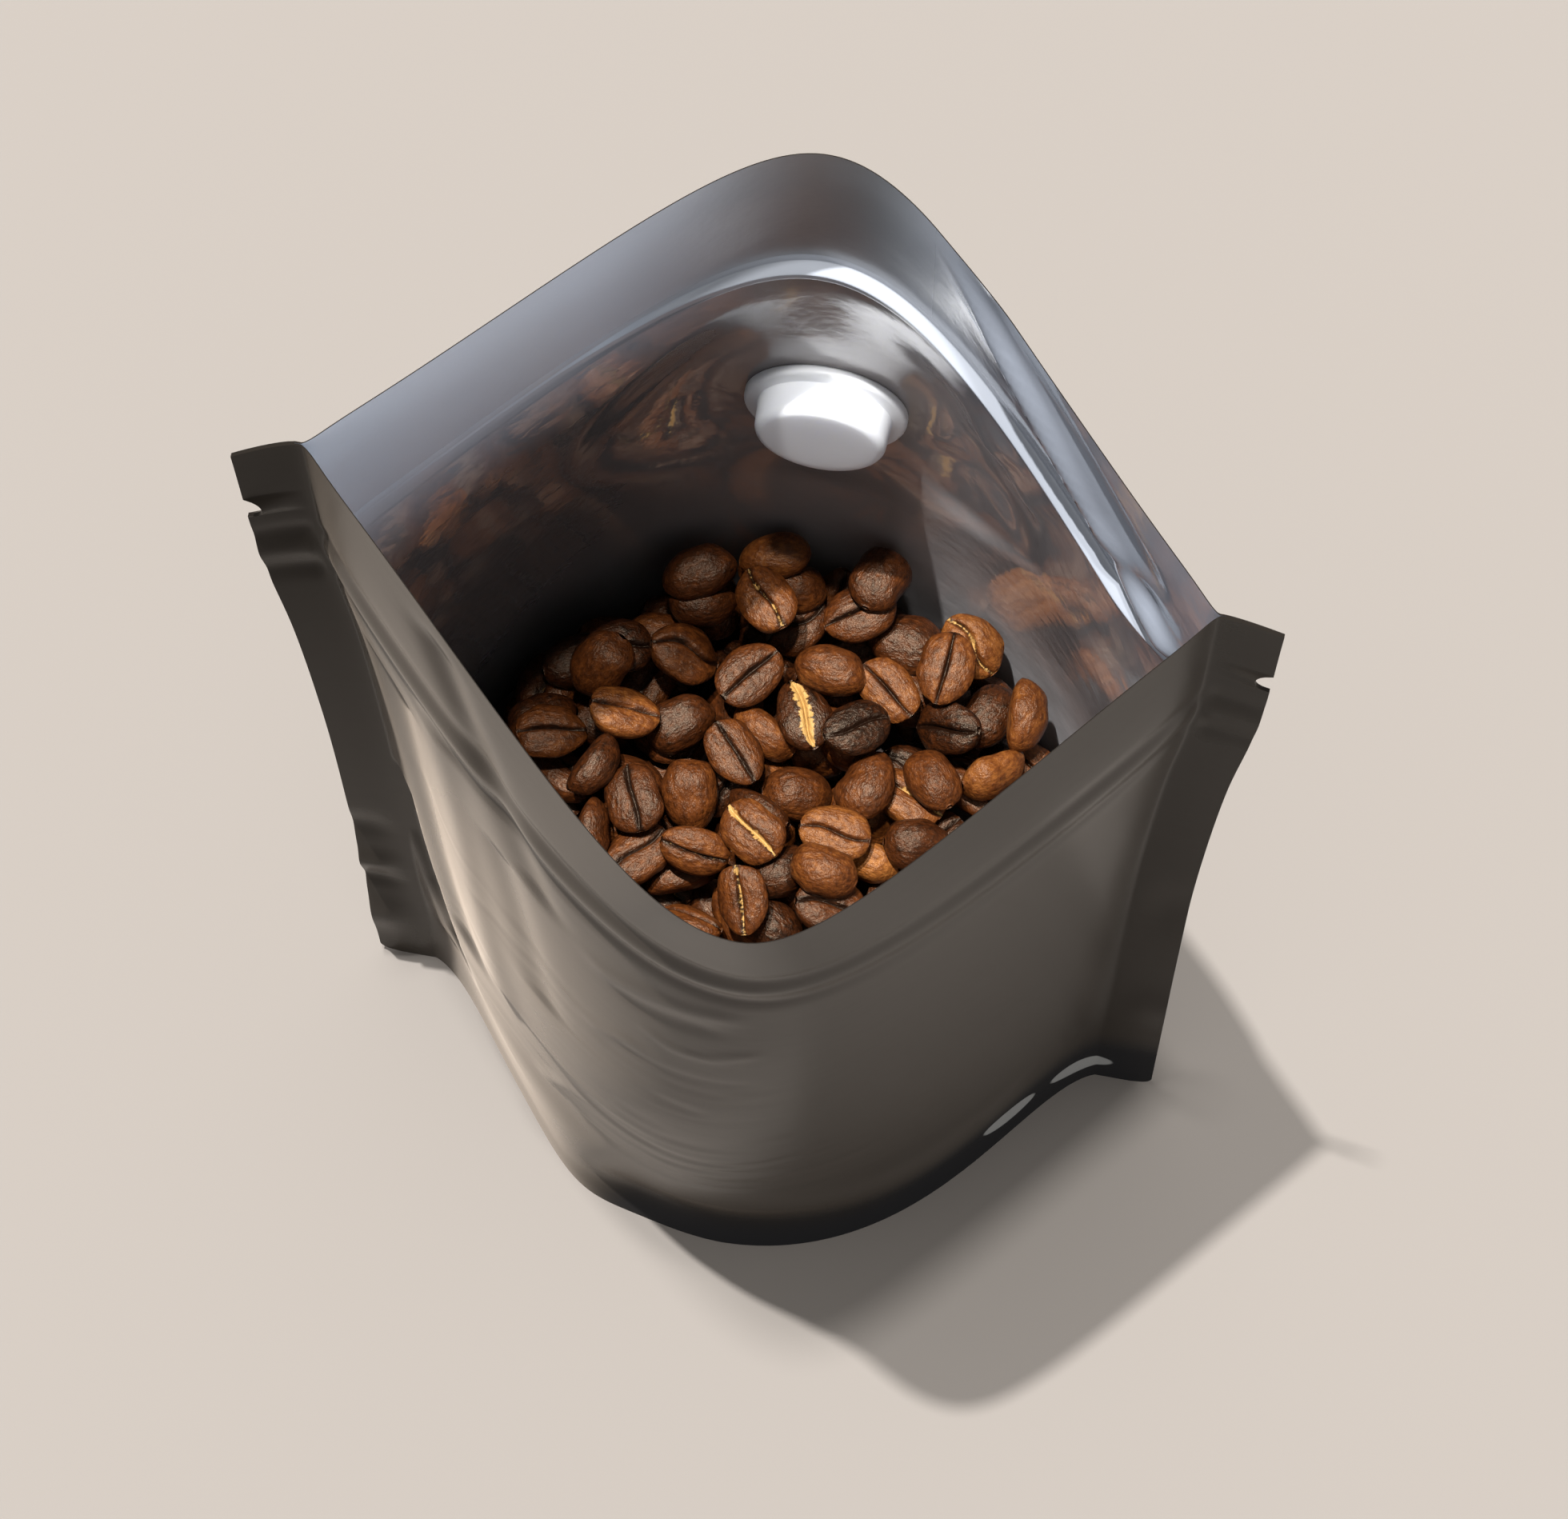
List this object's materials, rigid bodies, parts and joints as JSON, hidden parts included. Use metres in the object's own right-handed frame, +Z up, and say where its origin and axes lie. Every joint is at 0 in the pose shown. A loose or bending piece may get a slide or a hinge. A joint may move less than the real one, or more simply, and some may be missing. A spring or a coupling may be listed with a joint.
{
  "type": "coffee bag with valve",
  "caption": "Open stand-up film pouch with side seals, tear notches, press-to-close strip and degassing valve, part full of roasted coffee beans.",
  "frame": {"origin": "centre of the pouch's footprint, on the surface it stands on", "axes": "+Z up through the mouth, +X towards the right side seal, -Y towards the front panel"},
  "size_m": [0.124, 0.0973, 0.205],
  "materials": {
    "film": "matte black laminate outside, glossy dark metallised liner inside",
    "valve_plastic": "glossy white moulded plastic",
    "zip_plastic": "clear glossy plastic over the dark liner",
    "beans": null
  },
  "bodies": {
    "root": {"pouch": "film", "valve": "valve_plastic", "zip_front": "zip_plastic", "zip_back": "zip_plastic", "beans": "beans"}
  },
  "joints": []
}
